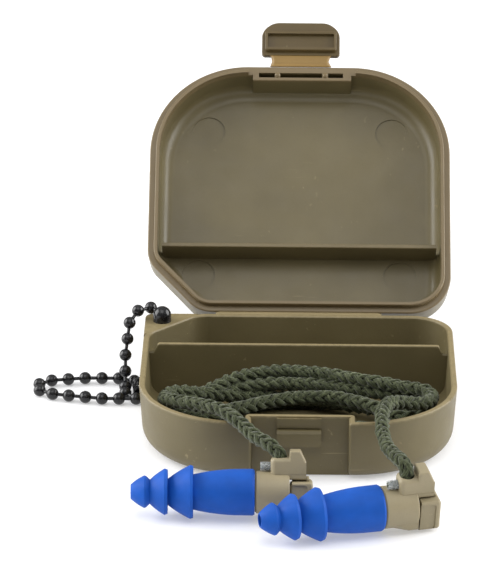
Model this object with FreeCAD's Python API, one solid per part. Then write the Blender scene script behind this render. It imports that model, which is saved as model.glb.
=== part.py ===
import FreeCAD, Part
import math
import os

Vector = FreeCAD.Vector
X_AXIS = Vector(1, 0, 0)
Y_AXIS = Vector(0, 1, 0)
Z_AXIS = Vector(0, 0, 1)
ORIGIN = Vector(0, 0, 0)

# ---------------------------------------------------------------- case, mm
CASE_W = 80.0              # outside width, X
CASE_FRONT = -36.5         # outside front face at the rim
CASE_REAR = 36.2           # outside rear face at the rim
CASE_H = 15.9              # height of the base up to its rim
CASE_WALL = 1.5            # wall at the rim
CASE_FLOOR = 1.6
CASE_DRAFT = 1.1           # how far the outside leans in by the bottom
CAVITY_DRAFT = 0.8
FRONT_CORNER_R = 26.0
REAR_CORNER_R = 11.0
DIAGONAL_CORNER_R = 8.0
RIM_R = 0.4                # rounding of rims and other moulded edges
EDGE_R = 0.3
BASE_BOTTOM_R = 5.5
BASE_INNER_R = 4.0

# inner face of the slanted corner wall, at rim level
DIAGONAL_A = (-38.5, 21.7)
DIAGONAL_B = (-27.0, 34.1)
LID_DIAGONAL_OUT = 0.9     # the lid's slanted wall stands this far outside that face

DIVIDER_Y = 15.4
DIVIDER_T = 1.2
DIVIDER_STEP = 1.6         # length of the lowered part at each end
DIVIDER_DROP = 2.4
DIVIDER_SLOPE = 0.8
DIVIDER_STEP_R = 0.7

PANEL_X0 = -11.5           # latch recess in the front wall
PANEL_X1 = 12.6
PANEL_Y = -32.1
PANEL_WALL = 1.5
PANEL_CORNER_R = 1.2
PANEL_MOUTH_R = 0.8
CATCH_X0 = -5.2
CATCH_X1 = 5.8
CATCH_PAD = (12.9, 15.5)   # heights of the flat pad
CATCH_PAD_OUT = 0.5
CATCH_HOOK = (8.4, 12.6)   # heights of the hook below it
CATCH_HOOK_OUT = 1.8
CATCH_SLOPE = 0.7

EAR_CORNER_R = 2.5
EAR_TOP_T = 2.2
EAR_SKIRT_T = 1.6
EAR_BOTTOM = 6.0
EAR_REACH = 15.5           # how far the ear is drawn before it is cut to the corner
EAR_OVERLAP = 0.7          # how far the ear runs into the slanted wall

# ---------------------------------------------------------------- lid, mm
OPEN_ANGLE = 136.3         # from closed to the open rest position
HINGE_Y = 36.6
HINGE_HALF_W = 21.7
HINGE_WEB_T = 0.5
LID_DEPTH = 10.0
LID_FLOOR = 1.8
LID_WALL = 2.55
LID_DRAFT = 0.8
LID_TOP_R = 4.6
LID_COVE_R = 3.6
TONGUE_T = 0.9
TONGUE_IN = 1.65           # from the outside face to the tongue
TONGUE_H = 1.5
RIB_S = 20.2               # distances marked S are measured from the hinge along the lid
RIB_T = 1.2
RIB_H = 7.4
RIB_HALF = 36.2
LATCH_BLOCK_X = (-12.8, 13.6)
LATCH_BLOCK_S = 68.9
BLOCK_POCKETS = ((-11.2, -6.9), (-5.5, 5.8), (7.4, 11.4))
POCKET_S = (69.8, 71.2)
POCKET_DEPTH = 5.0
KNOB_R = 0.8
MARK_R = 4.35              # round mould marks on the lid's floor
MARK_DEPTH = 0.25
MARKS = ((-24.5, 57.4), (24.6, 57.2), (-26.6, 14.7), (26.7, 14.6))

# ---------------------------------------------------------------- latch, mm
LATCH_NECK_S = (73.2, 76.5)
LATCH_NECK_HALF = 7.5
LATCH_NECK_T = 0.5
LATCH_BODY_S = (76.5, 84.0)
LATCH_TIP_S = 86.6
LATCH_HALF = 10.5
LATCH_TIP_HALF = 7.4
LATCH_T = 1.7
RING_S = (77.6, 83.4)
RING_HALF = 9.6
RING_H = 1.3
RING_POCKET_S = (78.4, 82.6)
RING_POCKET_HALF = 8.9
RING_POCKET_DEPTH = 1.1

# ---------------------------------------------------------------- ball chain, mm
BEAD_D = 3.2
LINK_D = 0.9
BEAD_PITCH = 4.35
ANCHOR_AT = (-35.5, 30.7)
ANCHOR_D = 4.65
ANCHOR_H = 4.0
HANGING_STRAND = (
    (-38.6, 35.2, 17.8), (-41.9, 32.4, 18.0), (-44.0, 29.4, 15.7), (-44.9, 25.0, 8.4),
    (-44.8, 20.6, 1.6), (-44.6, 16.0, 1.6),
)
LYING_STRAND = (
    (-41.7, 12.3, 1.6), (-50.0, 12.1, 1.6), (-62.7, 14.6, 1.6), (-66.6, 16.5, 1.6),
    (-67.7, 20.0, 1.6), (-66.5, 23.2, 1.6), (-63.0, 24.3, 1.6), (-55.0, 25.9, 1.6),
    (-46.6, 25.8, 1.6), (-42.6, 24.2, 1.6),
)
CLASP_FROM = (-41.2, 21.9, 1.85)
CLASP_TO = (-40.6, 14.4, 1.85)
CLASP_D = 3.7
CLASP_WALL = 0.25
CLASP_SLOT = 1.5

# ---------------------------------------------------------------- plugs, mm
# local frame of a plug: u along its axis from the tip, v up, w to the side
PLUG_AXIS_Z = 6.53
# roll is how many degrees the cord block leans back
PLUGS = {
    "left": {"tip": (-40.3, -57.4), "yaw": 0.6, "roll": 17.0},
    "right": {"tip": (-8.94, -73.5), "yaw": 15.6, "roll": -10.0},
}
BORE_R = 1.5
SOCKET_R = 3.3
SOCKET_U = 17.0
SLEEVE_END = 29.98
SPIGOT_R = 3.2
HOUSING_U = (30.2, 38.4)
HOUSING_R = 5.15
CHAMBER_R = 2.3
CHAMBER_U = 33.0
PORT_R = 1.1
FILTER_U = (34.0, 35.2)
BLOCK_U = (33.8, 42.4)
BLOCK_V = (4.3, 8.6)
BLOCK_HALF = 2.5
BLOCK_R = 1.3
BLOCK_NOSE_R = 1.1
BLOCK_EDGE_R = 0.45
HUMP_U = (38.2, 41.0)
HUMP_H = 1.75
HUMP_ROOT = 2.0            # how deep the hump sits in the block
REAR_DROP = 1.2            # fall of the block behind the hump
FAIRING_U = (31.6, 36.4)   # the barrel swells downwards between these
FAIRING_R = 6.15
FAIRING_HALF = 4.6
ARM_U = 38.0
ARM_V = 3.3
SLOT_U = 36.1
SLOT_R = 1.75
SLOT_V = 5.0
TAIL_V = 6.3
TAIL_R = 0.9
AGLET_R = 1.15
TAIL_OUT = 2.5
CAP_U = (39.0, 44.0)
CAP_TOP_V = 2.9
CAP_BOTTOM_V = -5.6
CAP_BOTTOM_R = 6.3
CAP_HALF = 4.3
CAP_EDGE_R = 0.9
CAP_LONG_R = 0.6
GRIP_U = (38.5, 42.7)      # shallow grip pocket on each side of the cap
GRIP_V = (-4.9, 2.2)
GRIP_DEPTH = 0.4
GRIP_R = 0.9
CAP_WEB_HALF = 2.0
CAP_WEB_T = 0.8

# ---------------------------------------------------------------- cord, mm
CORD_D = 3.0
LEFT_ROUTE = (
    (-4.3, -54.3, 15.5), (-6.2, -50.5, 19.2), (-9.8, -45.2, 20.6), (-14.2, -39.6, 20.5),
    (-19.4, -34.0, 20.4), (-25.2, -28.2, 18.4), (-30.0, -20.6, 16.2), (-31.4, -12.4, 14.0),
)
RIGHT_ROUTE = (
    (26.2, -65.2, 16.2), (25.0, -60.2, 19.8), (22.4, -53.0, 20.6), (20.0, -44.8, 20.4),
    (19.6, -36.6, 20.6), (21.2, -29.8, 20.2), (24.2, -22.6, 17.6), (27.0, -14.6, 14.2),
)
COIL_CENTRE_Y = -6.0
COIL_HALF_X = 35.9
COIL_HALF_Y = 14.6
COIL_Z = (1.8, 15.2)
COIL_EDGE_R = 3.0


def box(x0, x1, y0, y1, z0, z1):
    return Part.makeBox(x1 - x0, y1 - y0, z1 - z0, Vector(x0, y0, z0))


def unit2(a, b):
    length = math.hypot(b[0] - a[0], b[1] - a[1])
    return ((b[0] - a[0]) / length, (b[1] - a[1]) / length)


def cross_lines(p, d, q, e):
    """Point where the line through p along d meets the line through q along e."""
    det = d[0] * e[1] - d[1] * e[0]
    t = ((q[0] - p[0]) * e[1] - (q[1] - p[1]) * e[0]) / det
    return (p[0] + t * d[0], p[1] + t * d[1])


def case_corners(diagonal_out):
    """Corners of the case outline, anticlockwise, each with its rounding radius."""
    along = unit2(DIAGONAL_A, DIAGONAL_B)
    start = (DIAGONAL_A[0] - along[1] * diagonal_out, DIAGONAL_A[1] + along[0] * diagonal_out)
    half = CASE_W / 2
    rear_end = cross_lines(start, along, (0.0, CASE_REAR), (1.0, 0.0))
    side_end = cross_lines(start, along, (-half, 0.0), (0.0, 1.0))
    return [
        ((-half, CASE_FRONT), FRONT_CORNER_R),
        ((half, CASE_FRONT), FRONT_CORNER_R),
        ((half, CASE_REAR), REAR_CORNER_R),
        (rear_end, DIAGONAL_CORNER_R),
        (side_end, DIAGONAL_CORNER_R),
    ]


def inset(corners, distance):
    """The same outline moved inwards, with its radii kept concentric."""
    moved = []
    count = len(corners)
    for i, (point, radius) in enumerate(corners):
        before = unit2(corners[i - 1][0], point)
        after = unit2(point, corners[(i + 1) % count][0])
        on_before = (point[0] - before[1] * distance, point[1] + before[0] * distance)
        on_after = (point[0] - after[1] * distance, point[1] + after[0] * distance)
        moved.append((cross_lines(on_before, before, on_after, after), max(radius - distance, 0.3)))
    return moved


def outline_wire(corners, z):
    """Closed wire of straight sides joined by tangent arcs at the corners."""
    arcs = []
    count = len(corners)
    for i, (point, radius) in enumerate(corners):
        corner = Vector(point[0], point[1], z)
        back = unit2(point, corners[i - 1][0])
        ahead = unit2(point, corners[(i + 1) % count][0])
        to_back = Vector(back[0], back[1], 0)
        to_ahead = Vector(ahead[0], ahead[1], 0)
        half_angle = to_back.getAngle(to_ahead) / 2
        reach = radius / math.tan(half_angle)
        bisector = (to_back + to_ahead).normalize()
        middle = corner + bisector * (radius / math.sin(half_angle) - radius)
        arcs.append((corner + to_back * reach, middle, corner + to_ahead * reach))
    edges = []
    for i, (first, middle, last) in enumerate(arcs):
        edges.append(Part.Arc(first, middle, last).toShape())
        edges.append(Part.LineSegment(last, arcs[(i + 1) % count][0]).toShape())
    return Part.Wire(edges)


def drafted(corners, z0, inset0, z1, inset1):
    """Solid between two levels of one outline, so that its walls have draft."""
    low = outline_wire(inset(corners, inset0), z0)
    high = outline_wire(inset(corners, inset1), z1)
    return Part.makeLoft([low, high], True, True)


def edges_at_z(shape, z):
    found = []
    for edge in shape.Edges:
        box_z = edge.BoundBox
        if abs(box_z.ZMin - z) < 1e-4 and abs(box_z.ZMax - z) < 1e-4:
            found.append(edge)
    return found


def upright_edges(shape, places):
    """Edges parallel to Z whose plan position is in the list."""
    found = []
    for edge in shape.Edges:
        bounds = edge.BoundBox
        if bounds.XLength > 1e-4 or bounds.YLength > 1e-4:
            continue
        for x, y in places:
            if abs(bounds.XMin - x) < 1e-3 and abs(bounds.YMin - y) < 1e-3:
                found.append(edge)
    return found


# ================================================================ base
def case_outer():
    corners = case_corners(CASE_WALL)
    outer = drafted(corners, 0.0, CASE_DRAFT, CASE_H, 0.0)
    outer = outer.makeFillet(BASE_BOTTOM_R, edges_at_z(outer, 0.0))
    return outer.makeFillet(RIM_R, edges_at_z(outer, CASE_H))


def case_cavity():
    corners = case_corners(CASE_WALL)
    floor_inset = CASE_WALL + CAVITY_DRAFT
    cavity = drafted(corners, CASE_FLOOR, floor_inset, CASE_H + 1.0, CASE_WALL - 0.05)
    cavity = cavity.makeFillet(BASE_INNER_R, edges_at_z(cavity, CASE_FLOOR))
    flare = drafted(corners, CASE_H - EDGE_R, CASE_WALL, CASE_H + EDGE_R, CASE_WALL - 2 * EDGE_R)
    return cavity.fuse(flare)


def panel_block():
    """Material behind the latch recess, which pushes into the cavity."""
    x0 = PANEL_X0 - PANEL_WALL
    x1 = PANEL_X1 + PANEL_WALL
    y1 = PANEL_Y + PANEL_WALL
    block = box(x0, x1, CASE_FRONT, y1, CASE_FLOOR / 2, CASE_H)
    block = block.makeFillet(PANEL_CORNER_R, upright_edges(block, [(x0, y1), (x1, y1)]))
    rear_top = [e for e in edges_at_z(block, CASE_H) if e.BoundBox.YMax > CASE_FRONT + 1]
    return block.makeFillet(EDGE_R, [e for e in rear_top if e.BoundBox.YMin > CASE_FRONT + 1])


def catch():
    pad = box(CATCH_X0, CATCH_X1, PANEL_Y - CATCH_PAD_OUT, PANEL_Y + 0.2, CATCH_PAD[0], CATCH_PAD[1])
    low, high = CATCH_HOOK
    front = PANEL_Y - CATCH_HOOK_OUT
    profile = Part.makePolygon([
        Vector(CATCH_X0, PANEL_Y + 0.2, low), Vector(CATCH_X0, front, low),
        Vector(CATCH_X0, front, high - CATCH_SLOPE), Vector(CATCH_X0, front + 0.5, high),
        Vector(CATCH_X0, PANEL_Y + 0.2, high), Vector(CATCH_X0, PANEL_Y + 0.2, low),
    ])
    hook = Part.Face(profile).extrude(Vector(CATCH_X1 - CATCH_X0, 0, 0))
    lower_corners = []
    for edge in hook.Edges:
        bounds = edge.BoundBox
        is_depth_edge = bounds.XLength < 1e-4 and bounds.ZLength < 1e-4
        if is_depth_edge and abs(bounds.ZMin - low) < 1e-4:
            lower_corners.append(edge)
    hook = hook.makeFillet(0.8, lower_corners)
    return pad.fuse(hook)


def ear():
    """Square corner outside the slanted wall, cored from below."""
    half = CASE_W / 2
    outer = box(-half, -half + EAR_REACH, CASE_REAR - EAR_REACH, CASE_REAR, EAR_BOTTOM, CASE_H)
    outer = outer.makeFillet(EAR_CORNER_R, upright_edges(outer, [(-half, CASE_REAR)]))
    outside = []
    for edge in edges_at_z(outer, CASE_H):
        bounds = edge.BoundBox
        if bounds.XMax < -half + EAR_CORNER_R + 0.01 or bounds.YMin > CASE_REAR - EAR_CORNER_R - 0.01:
            outside.append(edge)
    outer = outer.makeFillet(RIM_R, outside)
    skirt = EAR_SKIRT_T
    core = box(-half + skirt, -half + EAR_REACH, CASE_REAR - EAR_REACH, CASE_REAR - skirt,
               EAR_BOTTOM - 1, CASE_H - EAR_TOP_T)
    along = unit2(DIAGONAL_A, DIAGONAL_B)
    a = Vector(DIAGONAL_A[0] - 6 * along[0], DIAGONAL_A[1] - 6 * along[1], 0)
    b = Vector(DIAGONAL_B[0] + 6 * along[0], DIAGONAL_B[1] + 6 * along[1], 0)
    inwards = Vector(along[1], -along[0], 0) * 30
    inside = Part.Face(Part.makePolygon([a, b, b + inwards, a + inwards, a]))
    inside = inside.extrude(Vector(0, 0, CASE_H + 5))
    outward = Vector(-along[1], along[0], 0) * (CASE_WALL - EAR_OVERLAP)
    return outer.cut(core).cut(inside.translated(outward))


def divider(cavity):
    y = DIVIDER_Y - DIVIDER_T / 2
    wide = CASE_W / 2
    near = wide - CASE_WALL - DIVIDER_STEP
    low = CASE_H - DIVIDER_DROP
    outline = [
        (-wide, CASE_FLOOR / 2), (-wide, low), (-near, low), (-near + DIVIDER_SLOPE, CASE_H),
        (near - DIVIDER_SLOPE, CASE_H), (near, low), (wide, low), (wide, CASE_FLOOR / 2),
        (-wide, CASE_FLOOR / 2),
    ]
    profile = Part.Face(Part.makePolygon([Vector(x, y, z) for x, z in outline]))
    wall = profile.extrude(Vector(0, DIVIDER_T, 0))
    steps = []
    for edge in wall.Edges:
        bounds = edge.BoundBox
        level = bounds.XLength < 1e-4 and bounds.ZLength < 1e-4
        if level and abs(bounds.XMin) < wide - 1 and bounds.ZMin > 1:
            steps.append(edge)
    wall = wall.makeFillet(DIVIDER_STEP_R, steps)
    tops = [e for e in wall.Edges if e.BoundBox.ZMin > low - 1e-4 and e.BoundBox.XLength > 1e-3]
    wall = wall.makeFillet(EDGE_R, tops)
    around = cavity.BoundBox
    grown = box(around.XMin - 0.4, around.XMax + 0.4, DIVIDER_Y - 2, DIVIDER_Y + 2, 0, CASE_H)
    return wall.common(grown)


def case_base():
    outer = case_outer()
    cavity = case_cavity()
    recess = box(PANEL_X0, PANEL_X1, CASE_FRONT - 5, PANEL_Y, -1, CASE_H + 1)
    body = outer.cut(cavity.cut(panel_block()))
    body = body.fuse(divider(cavity).common(outer))
    body = body.cut(recess)
    mouth = []
    for edge in body.Edges:
        bounds = edge.BoundBox
        beside = min(abs(bounds.XMin - PANEL_X0), abs(bounds.XMin - PANEL_X1))
        if beside < 1e-3 and bounds.XLength < 1e-3 and bounds.ZLength > 5 and bounds.YMax < PANEL_Y - 2:
            mouth.append(edge)
    body = body.makeFillet(PANEL_MOUTH_R, mouth)
    body = body.fuse(ear())
    body = body.fuse(catch())
    return body.removeSplitter()


# ================================================================ lid, modelled closed
def lid_y(s):
    return HINGE_Y - s


def open_lid(shape):
    """Turn a piece of the closed lid to its open rest position."""
    turned = shape.copy()
    turned.rotate(Vector(0, HINGE_Y, CASE_H), X_AXIS, -OPEN_ANGLE)
    return turned


def case_lid():
    corners = case_corners(LID_DIAGONAL_OUT)
    top = CASE_H + LID_DEPTH
    outer = drafted(corners, CASE_H, 0.0, top, LID_DRAFT)
    outer = outer.makeFillet(LID_TOP_R, edges_at_z(outer, top))
    outer = outer.makeFillet(RIM_R, edges_at_z(outer, CASE_H))
    ceiling = top - LID_FLOOR
    cavity = drafted(corners, CASE_H - 1, LID_WALL, ceiling, LID_WALL + 0.5)
    cavity = cavity.makeFillet(LID_COVE_R, edges_at_z(cavity, ceiling))
    x0, x1 = LATCH_BLOCK_X
    y0 = lid_y(73.5)
    y1 = lid_y(LATCH_BLOCK_S)
    block = box(x0, x1, y0, y1, CASE_H, ceiling + 0.5)
    block = block.makeFillet(EDGE_R, [e for e in edges_at_z(block, CASE_H) if e.BoundBox.YMin > y0 + 1])
    body = outer.cut(cavity.cut(block))
    tongue = drafted(corners, CASE_H - TONGUE_H, TONGUE_IN, CASE_H + 0.3, TONGUE_IN)
    tongue = tongue.makeFillet(EDGE_R, edges_at_z(tongue, CASE_H - TONGUE_H))
    tongue_in = drafted(corners, CASE_H - 2 * TONGUE_H, TONGUE_IN + TONGUE_T,
                        CASE_H + 1, TONGUE_IN + TONGUE_T)
    gap = box(x0 - 1.2, x1 + 1.2, CASE_FRONT - 1, CASE_FRONT + 8, CASE_H - 5, CASE_H + 0.01)
    body = body.fuse(tongue.cut(tongue_in).cut(gap))
    rib = box(-RIB_HALF, RIB_HALF, lid_y(RIB_S) - RIB_T / 2, lid_y(RIB_S) + RIB_T / 2,
              ceiling - RIB_H, ceiling + 0.5)
    rib = rib.makeFillet(EDGE_R, [e for e in edges_at_z(rib, ceiling - RIB_H) if e.Length > RIB_HALF])
    body = body.fuse(rib)
    for px0, px1 in BLOCK_POCKETS:
        body = body.cut(box(px0, px1, lid_y(POCKET_S[1]), lid_y(POCKET_S[0]),
                            CASE_H - 1, CASE_H + POCKET_DEPTH))
    knob_y = lid_y((POCKET_S[0] + POCKET_S[1]) / 2)
    for i in range(len(BLOCK_POCKETS) - 1):
        knob_x = (BLOCK_POCKETS[i][1] + BLOCK_POCKETS[i + 1][0]) / 2
        body = body.fuse(Part.makeSphere(KNOB_R, Vector(knob_x, knob_y, CASE_H + 0.2)))
    for mark_x, mark_s in MARKS:
        mark = Part.makeCylinder(MARK_R, 1.0, Vector(mark_x, lid_y(mark_s), ceiling + MARK_DEPTH - 1.0))
        body = body.cut(mark)
    return open_lid(body.removeSplitter())


def lid_hinge_web():
    """Thin strip between the two rear rims, bent at the open position."""
    turn = math.radians(OPEN_ANGLE)
    pivot = Vector(-HINGE_HALF_W, HINGE_Y, CASE_H)
    base_edge = Vector(-HINGE_HALF_W, CASE_REAR, CASE_H)
    base_low = base_edge - Z_AXIS * HINGE_WEB_T
    reach = HINGE_Y - CASE_REAR
    along = Vector(0, -math.cos(turn), math.sin(turn))
    behind = Vector(0, math.sin(turn), math.cos(turn))
    lid_edge = pivot + along * reach
    lid_low = lid_edge + behind * HINGE_WEB_T
    under = pivot + (behind - Z_AXIS).normalize() * HINGE_WEB_T
    section = Part.makePolygon([base_edge, pivot, lid_edge, lid_low, under, base_low, base_edge])
    return Part.Face(section).extrude(Vector(2 * HINGE_HALF_W, 0, 0))


# ================================================================ latch, modelled closed
def latch():
    z0 = CASE_H
    s0, s1 = LATCH_BODY_S
    ends = [
        (-LATCH_HALF, s0), (LATCH_HALF, s0), (LATCH_HALF, s1),
        (LATCH_TIP_HALF, LATCH_TIP_S), (-LATCH_TIP_HALF, LATCH_TIP_S), (-LATCH_HALF, s1),
    ]
    radii = [1.0, 1.0, 4.2, 4.6, 4.6, 4.2]
    corners = []
    for (x, s), radius in zip(ends, radii):
        corners.append(((x, lid_y(s)), radius))
    corners.reverse()
    plate = Part.Face(outline_wire(corners, z0)).extrude(Vector(0, 0, LATCH_T))
    plate = plate.makeFillet(0.5, edges_at_z(plate, z0 + LATCH_T))
    plate = plate.makeFillet(EDGE_R, edges_at_z(plate, z0))
    ring = box(-RING_HALF, RING_HALF, lid_y(RING_S[1]), lid_y(RING_S[0]), z0 - RING_H, z0 + 0.3)
    ring = ring.makeFillet(0.7, upright_edges(ring, [
        (side * RING_HALF, lid_y(s)) for side in (-1, 1) for s in RING_S]))
    ring = ring.makeFillet(EDGE_R, edges_at_z(ring, z0 - RING_H))
    pocket = box(-RING_POCKET_HALF, RING_POCKET_HALF, lid_y(RING_POCKET_S[1]), lid_y(RING_POCKET_S[0]),
                 z0 - RING_H - 1, z0 - RING_H + RING_POCKET_DEPTH)
    body = plate.fuse(ring).cut(pocket)
    return open_lid(body.removeSplitter())


def latch_hinge_web():
    web = box(-LATCH_NECK_HALF, LATCH_NECK_HALF, lid_y(LATCH_NECK_S[1]), lid_y(LATCH_NECK_S[0]),
              CASE_H, CASE_H + LATCH_NECK_T)
    return open_lid(web)


# ================================================================ ball chain
def walk(route, pitch):
    """Points along a route of straight runs, evenly spaced at about the pitch."""
    points = [Vector(*p) for p in route]
    lengths = [(b - a).Length for a, b in zip(points, points[1:])]
    total = sum(lengths)
    count = round(total / pitch)
    places = []
    for i in range(count + 1):
        left = total * i / count
        k = 0
        while k < len(lengths) - 1 and left > lengths[k]:
            left -= lengths[k]
            k += 1
        places.append(points[k] + (points[k + 1] - points[k]) * (left / lengths[k]))
    return places


def link(a, b):
    """Short pin between two beads, ending on their surfaces."""
    direction = (b - a).normalize()
    start = a + direction * (BEAD_D / 2 - 0.05)
    length = (b - a).Length - BEAD_D + 0.1
    return Part.makeCylinder(LINK_D / 2, length, start, direction)


def chain_anchor():
    x, y = ANCHOR_AT
    radius = ANCHOR_D / 2
    skirt = ANCHOR_H - radius
    dome = Part.makeCylinder(radius, skirt, Vector(x, y, CASE_H))
    dome = dome.fuse(Part.makeSphere(radius, Vector(x, y, CASE_H + skirt)))
    dome = dome.common(box(x - 5, x + 5, y - 5, y + 5, CASE_H, CASE_H + 10))
    first = Vector(*HANGING_STRAND[0])
    middle = Vector(x, y, first.z)
    slot = Part.makeCylinder(LINK_D / 2 + 0.1, 6, middle, (first - middle).normalize())
    return dome.removeSplitter().cut(slot)


def chain_parts():
    hanging = walk(HANGING_STRAND, BEAD_PITCH)
    lying = walk(LYING_STRAND, BEAD_PITCH)
    beads = [Part.makeSphere(BEAD_D / 2, p) for p in hanging + lying]
    links = []
    for strand in (hanging, lying):
        links += [link(a, b) for a, b in zip(strand, strand[1:])]
    links.append(link(hanging[-1], lying[0]))
    first = hanging[0]
    middle = Vector(ANCHOR_AT[0], ANCHOR_AT[1], first.z)
    towards = (first - middle).normalize()
    stub_from = middle + towards * 0.6
    stub_length = (first - stub_from).Length - BEAD_D / 2 + 0.05
    links.append(Part.makeCylinder(LINK_D / 2, stub_length, stub_from, towards))
    clasp_end = Vector(*CLASP_FROM)
    last = lying[-1]
    gap = clasp_end - last
    stub = Part.makeCylinder(LINK_D / 2, gap.Length - BEAD_D / 2 + 0.05,
                             last + gap.normalize() * (BEAD_D / 2 - 0.05), gap)
    links.append(stub)
    return Part.makeCompound(beads), Part.makeCompound(links)


def chain_connector():
    start = Vector(*CLASP_FROM)
    end = Vector(*CLASP_TO)
    axis = (end - start).normalize()
    length = (end - start).Length
    tube = Part.makeCylinder(CLASP_D / 2, length, start, axis)
    tube = tube.cut(Part.makeCylinder(CLASP_D / 2 - CLASP_WALL, length - 0.6, start + axis * 0.3, axis))
    for place in (start, end):
        tube = tube.cut(Part.makeCylinder(CLASP_SLOT / 2, 1.0, place - axis * 0.5, axis))
    slot = box(-CLASP_SLOT / 2, CLASP_SLOT / 2, -length / 2 + 1.2, length / 2 - 1.2, 0.0, 4.0)
    slot.translate((start + end) * 0.5)
    return tube.cut(slot)


# ================================================================ plugs
def place_plug(shape, side):
    """Move a piece from the plug's local frame to its place on the table."""
    plug = PLUGS[side]
    placed = shape.copy()
    placed.rotate(ORIGIN, X_AXIS, -plug["roll"])
    placed.rotate(ORIGIN, Z_AXIS, plug["yaw"])
    placed.translate(Vector(plug["tip"][0], plug["tip"][1], PLUG_AXIS_Z))
    return placed


def profile_edges(steps):
    """Edges of a half section: each step is (u, r), or (u, r, via_u, via_r) for an arc."""
    edges = []
    here = Vector(steps[0][0], 0, steps[0][1])
    for step in steps[1:]:
        there = Vector(step[0], 0, step[1])
        if len(step) == 4:
            edges.append(Part.Arc(here, Vector(step[2], 0, step[3]), there).toShape())
        else:
            edges.append(Part.LineSegment(here, there).toShape())
        here = there
    return edges


def revolve(steps):
    face = Part.Face(Part.Wire(profile_edges(steps)))
    return face.revolve(ORIGIN, X_AXIS, 360)


def plug_flanges():
    return revolve([
        (0.0, BORE_R), (0.0, 1.75), (3.3, 3.96, 1.55, 2.98), (3.75, 3.8), (4.63, 2.97),
        (8.2, 5.63, 6.35, 4.42), (8.95, 5.35), (8.3, 3.2), (9.0, 3.2),
        (14.4, 6.53, 11.6, 5.02), (15.1, 6.3), (14.3, 4.2), (15.1, 4.3),
        (25.0, 5.6, 20.2, 5.2), (29.5, 5.65), (SLEEVE_END, 5.35), (SLEEVE_END, SOCKET_R),
        (SOCKET_U, SOCKET_R), (SOCKET_U, BORE_R), (0.0, BORE_R),
    ])


def fairing():
    """Swelling under the barrel, as low as the cap, with flat sides."""
    start, full = FAIRING_U
    end = HOUSING_U[1]
    shape = Part.makeCone(HOUSING_R - 0.3, FAIRING_R, full - start, Vector(start, 0, 0), X_AXIS)
    shape = shape.fuse(Part.makeCylinder(FAIRING_R, end - full, Vector(full, 0, 0), X_AXIS))
    shape = shape.common(box(start, end, -FAIRING_HALF, FAIRING_HALF, -FAIRING_R - 1, -1.0))
    inner = Part.makeCylinder(HOUSING_R - 1.0, end - start + 2, Vector(start - 1, 0, 0), X_AXIS)
    return shape.cut(inner)


def plug_housing():
    u0, u1 = HOUSING_U
    body = revolve([
        (SOCKET_U + 0.3, BORE_R), (SOCKET_U + 0.3, SPIGOT_R - 0.3), (SOCKET_U + 0.6, SPIGOT_R),
        (u0 - 0.2, SPIGOT_R), (u0 - 0.2, HOUSING_R - 0.5), (u0, HOUSING_R - 0.3), (u0 + 0.3, HOUSING_R),
        (u1 - 0.3, HOUSING_R), (u1, HOUSING_R - 0.3), (u1, CHAMBER_R), (CHAMBER_U, CHAMBER_R),
        (CHAMBER_U, BORE_R), (SOCKET_U + 0.3, BORE_R),
    ])
    bu0, bu1 = BLOCK_U
    v0, v1 = BLOCK_V
    block = box(bu0, bu1, -BLOCK_HALF, BLOCK_HALF, v0, v1)
    hump_start, hump_end = HUMP_U
    hump = Part.Face(Part.makePolygon([
        Vector(hump_start, -BLOCK_HALF, v1 - HUMP_ROOT), Vector(hump_start + 0.2, -BLOCK_HALF, v1 + HUMP_H),
        Vector(hump_end, -BLOCK_HALF, v1 + HUMP_H), Vector(bu1, -BLOCK_HALF, v1 - REAR_DROP),
        Vector(bu1, -BLOCK_HALF, v1 - HUMP_ROOT), Vector(hump_start, -BLOCK_HALF, v1 - HUMP_ROOT),
    ])).extrude(Vector(0, 2 * BLOCK_HALF, 0))
    arm = box(ARM_U, bu1, -BLOCK_HALF, BLOCK_HALF, ARM_V, v0 + 0.2)
    hump = hump.makeFillet(BLOCK_EDGE_R, hump.Edges)
    arm = arm.makeFillet(BLOCK_EDGE_R, [e for e in arm.Edges if e.BoundBox.ZMax < ARM_V + 1e-4])
    uprights = upright_edges(block, [(bu0, -BLOCK_HALF), (bu0, BLOCK_HALF)])
    rear_top = box(hump_end, bu1 + 1, -BLOCK_HALF - 1, BLOCK_HALF + 1, v1 - REAR_DROP, v1 + 1)
    block = block.makeFillet(BLOCK_R, uprights)
    block = block.makeFillet(BLOCK_NOSE_R, edges_at_z(block, v1))
    block = block.makeFillet(BLOCK_EDGE_R, edges_at_z(block, v0))
    block = block.cut(rear_top)
    block = block.fuse(hump).fuse(arm)
    block = block.cut(Part.makeCylinder(SLOT_R, 10, Vector(SLOT_U, 0, SLOT_V)))
    hole = Part.makeCylinder(AGLET_R + 0.1, SLOT_U - bu0 + 0.5, Vector(bu0 - 0.5, 0, TAIL_V), X_AXIS)
    chamber = Part.makeCylinder(CHAMBER_R, u1 - CHAMBER_U + 1, Vector(CHAMBER_U, 0, 0), X_AXIS)
    body = body.fuse(fairing()).fuse(block)
    return body.cut(chamber).cut(hole).removeSplitter()


def plug_filter():
    u0, u1 = FILTER_U
    disc = Part.makeCylinder(CHAMBER_R - 0.05, u1 - u0, Vector(u0, 0, 0), X_AXIS)
    return disc.cut(Part.makeCylinder(0.4, u1 - u0 + 1, Vector(u0 - 0.5, 0, 0), X_AXIS))


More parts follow.
